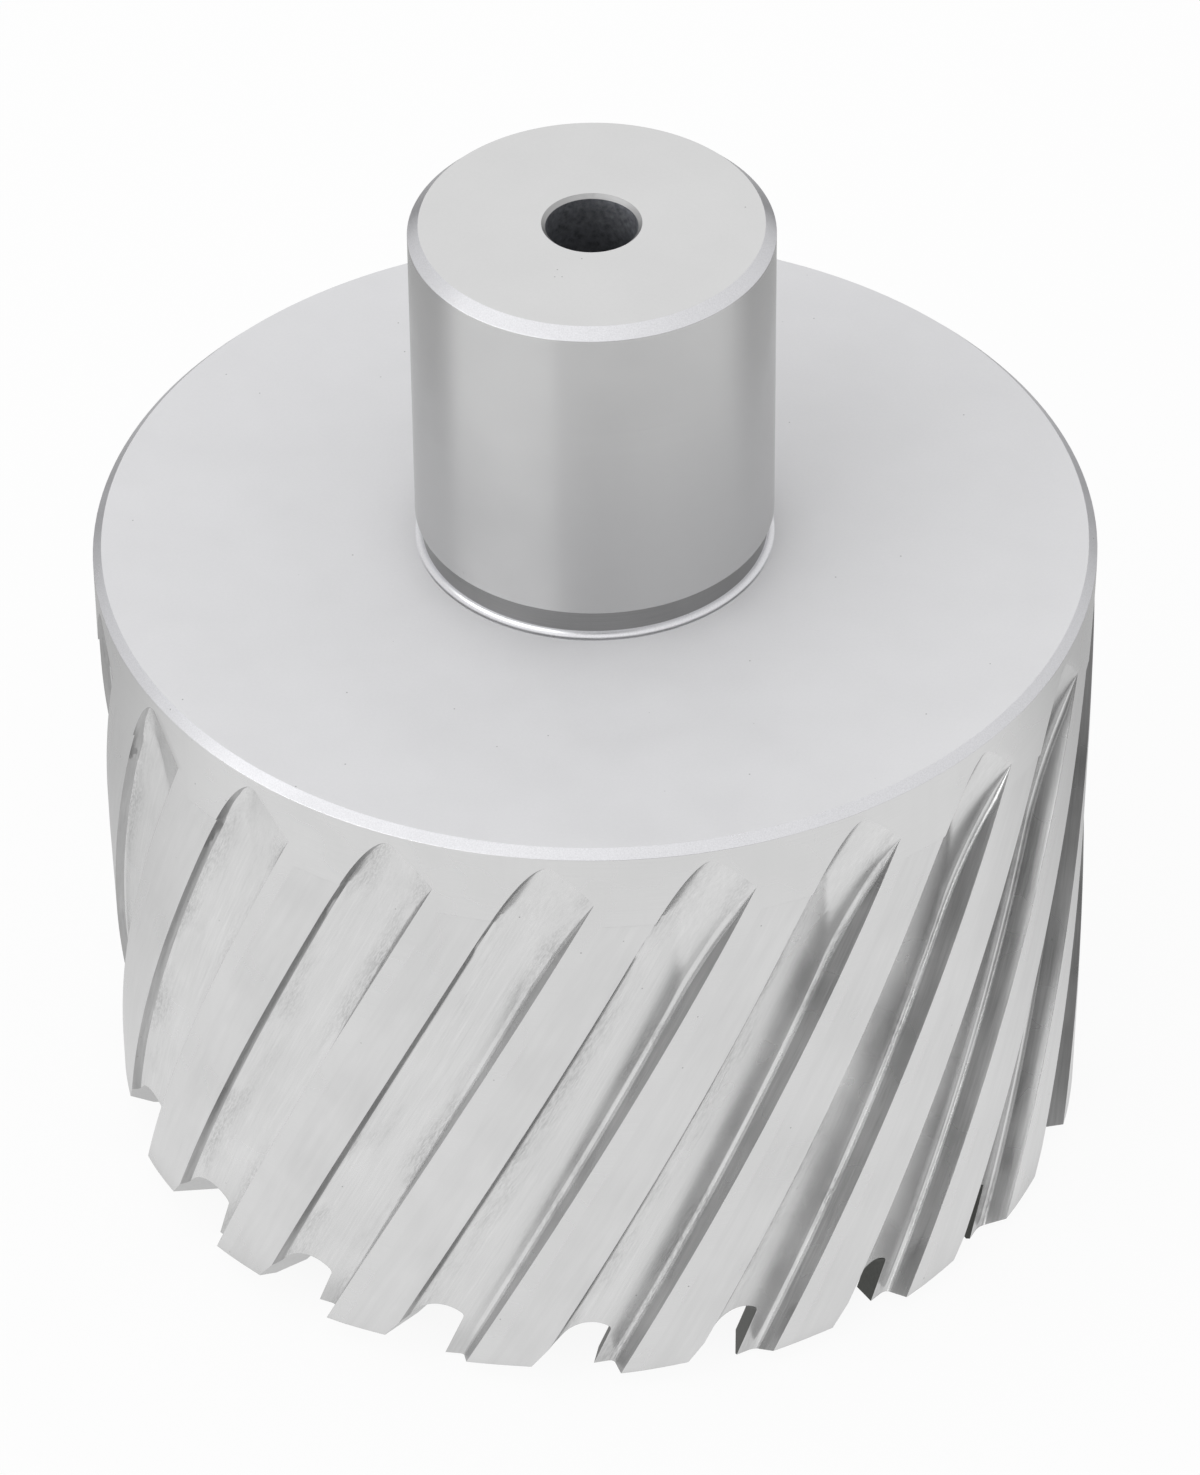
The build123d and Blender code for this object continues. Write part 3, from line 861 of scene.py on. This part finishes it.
# The camera looks down on the shoulder's centre, from its distance in metres. Small turns, in
# degrees, bring the frame onto the photograph's
cameraSet = {"distance": 0.663235, "elevation": 37.964, "pitch": 1.602, "yaw": -0.029,
             "roll": -0.575, "focalPixels": 7488.5, "framePixels": 1475, "sensor": 36,
             "nearest": 0.01}


def placeCamera():
    # the camera stands in front at its elevation, and looks back along its line of sight
    elevation = radians(cameraSet["elevation"])
    tilt = elevation + radians(cameraSet["pitch"])
    yaw, roll = radians(cameraSet["yaw"]), radians(cameraSet["roll"])
    aim = Vector((0, 0, cutter["bodyLength"] * mm))
    place = aim + cameraSet["distance"] * Vector((0, -cos(elevation), sin(elevation)))
    back = Vector((sin(yaw) * cos(tilt), -cos(yaw) * cos(tilt), sin(tilt)))
    right = Vector((cos(yaw), sin(yaw), 0))
    up = back.cross(right)
    turned = right * cos(roll) + up * sin(roll)
    upright = up * cos(roll) - right * sin(roll)
    lens = bpy.data.cameras.new("photoCamera")
    lens.sensor_width = cameraSet["sensor"]
    lens.lens = cameraSet["focalPixels"] / cameraSet["framePixels"] * cameraSet["sensor"]
    lens.clip_start = cameraSet["nearest"]
    camera = bpy.data.objects.new("photoCamera", lens)
    scene.collection.objects.link(camera)
    rows = [[*axis, at] for axis, at in zip(zip(turned, upright, back), place)]
    camera.matrix_world = Matrix(rows + [[0, 0, 0, 1]])
    scene.camera = camera


studio = {
    "floorSize": 3.0,                          # metres
    "floorGrey": 0.8,
    "floorRough": 0.9,
    "glow": 0.92,                              # how much of its own white the floor shows
    # how bright the floor is where steel reflects it: from and to in metres, and the level
    "footShade": (0.0445, 0.047, 0.80),        # under the cutter's sides
    "backShade": (-0.035, 0.06, 0.55),         # behind it
    "farShade": (0.14, 0.55, 0.22),            # and away from it
    # the soft world's level at the horizon, and above the given height of its ways
    "horizon": 0.74, "zenith": 0.98, "zenithFrom": 0.8,
    "key": {"way": (-0.25, -0.62, 0.74), "gain": 0.18, "width": 4},
    "dark": {"way": (0.05, -1.0, 0.14), "gain": -0.68, "width": 14},      # behind the camera
    # the low light's azimuths and heights, with the widths over which its edges fade
    "stripWay": (-88.0, -22.0), "stripEdge": 3.0,
    "stripRise": (0.02, 0.50), "stripFade": (0.05, 0.1), "stripGain": 2.6,
}


def sightRays(tree):
    # two switches: 1 for the camera's own rays, and 1 for rays of the camera, a gloss or glass.
    # Both are 0 for the rays that light things
    path = addNode(tree, "LightPath").outputs
    seen = calc(tree, "MAXIMUM", path["Is Camera Ray"], path["Is Glossy Ray"])
    return path["Is Camera Ray"], calc(tree, "MAXIMUM", seen, path["Is Transmission Ray"])


def makeFloor():
    # pale paper that shows the camera its own white with a little of its shade, and reflections a
    # pool of white that falls off under, behind and away from the cutter
    half = studio["floorSize"] / mm / 2
    corners = [(-half, -half, 0), (half, -half, 0), (half, half, 0), (-half, half, 0)]
    floor = newObject("paleFloor", corners, [(0, 1, 2, 3)])
    material = bpy.data.materials.new("palePaper")
    material.use_nodes = True
    tree = material.node_tree
    shader = tree.nodes["Principled BSDF"]
    shader.inputs["Base Color"].default_value = (studio["floorGrey"],) * 3 + (1,)
    shader.inputs["Roughness"].default_value = studio["floorRough"]
    shader.inputs["Specular IOR Level"].default_value = 0.0
    place = addNode(tree, "TexCoord").outputs["Object"]
    distance = addNode(tree, "VectorMath", {0: place}, operation="LENGTH").outputs["Value"]
    depth = addNode(tree, "SeparateXYZ", {0: place}).outputs["Y"]
    near, out, dim = studio["footShade"]
    pool = spread(tree, distance, dim, 1.0, near, out, interpolation_type="SMOOTHSTEP")
    near, out, dim = studio["backShade"]
    back = spread(tree, depth, 1.0, dim, near, out, interpolation_type="SMOOTHSTEP")
    near, out, dim = studio["farShade"]
    far = spread(tree, distance, 1.0, dim, near, out, interpolation_type="SMOOTHSTEP")
    pool = product(tree, pool, back, far)
    camera, sight = sightRays(tree)
    glow = addNode(tree, "Emission", {"Strength": calc(tree, "MAXIMUM", pool, camera)})
    share = calc(tree, "MULTIPLY", sight, studio["glow"])
    mix = addNode(tree, "MixShader", {0: share, 1: shader.outputs[0], 2: glow.outputs[0]})
    tree.links.new(mix.outputs[0], tree.nodes["Material Output"].inputs["Surface"])
    floor.data.materials.append(material)


def lobe(tree, way, gain, width):
    # gain times the cosine to a way, raised to a power that sets how wide the patch is
    look = addNode(tree, "TexCoord").outputs["Generated"]
    inputs = {0: look, 1: Vector(way).normalized()}
    aim = addNode(tree, "VectorMath", inputs, operation="DOT_PRODUCT")
    facing = calc(tree, "MAXIMUM", aim.outputs["Value"], 0.0)
    return calc(tree, "MULTIPLY", calc(tree, "POWER", facing, width), gain)


def strip(tree):
    # a low light at the left front: gain within its azimuths (degrees from the front) and heights
    look = addNode(tree, "TexCoord").outputs["Generated"]
    way = addNode(tree, "SeparateXYZ", {0: look}).outputs
    azimuth = azimuthOf(tree, way)
    left, right = (radians(edge) for edge in studio["stripWay"])
    soft = radians(studio["stripEdge"])
    low, high = studio["stripRise"]
    lowFade, highFade = studio["stripFade"]
    inside = product(tree, spread(tree, azimuth, 0.0, 1.0, left - soft, left + soft),
                     spread(tree, azimuth, 1.0, 0.0, right - soft, right + soft))
    level = product(tree, spread(tree, way["Z"], 0.0, 1.0, low, low + lowFade),
                    spread(tree, way["Z"], 1.0, 0.0, high - highFade, high))
    return product(tree, inside, level, studio["stripGain"])


def makeWorld():
    # a soft world that brightens from horizon to zenith, with a broad key above the camera's left
    # and a dark room low behind the camera, and pure white where the camera itself sees it
    world = bpy.data.worlds.new("studioWorld")
    scene.world = world
    world.use_nodes = True
    tree = world.node_tree
    look = addNode(tree, "TexCoord").outputs["Generated"]
    height = addNode(tree, "SeparateXYZ", {0: look}).outputs["Z"]
    level = spread(tree, height, studio["horizon"], studio["zenith"], 0.0, studio["zenithFrom"])
    for name in ("key", "dark"):
        level = calc(tree, "ADD", level, lobe(tree, **studio[name]))
    level = calc(tree, "ADD", level, strip(tree))
    camera = addNode(tree, "LightPath").outputs["Is Camera Ray"]
    background = tree.nodes["Background"]
    background.inputs["Color"].default_value = (1, 1, 1, 1)
    tree.links.new(calc(tree, "MAXIMUM", level, camera), background.inputs["Strength"])


placeCamera()
makeFloor()
makeWorld()
scene.view_settings.view_transform = "Standard"
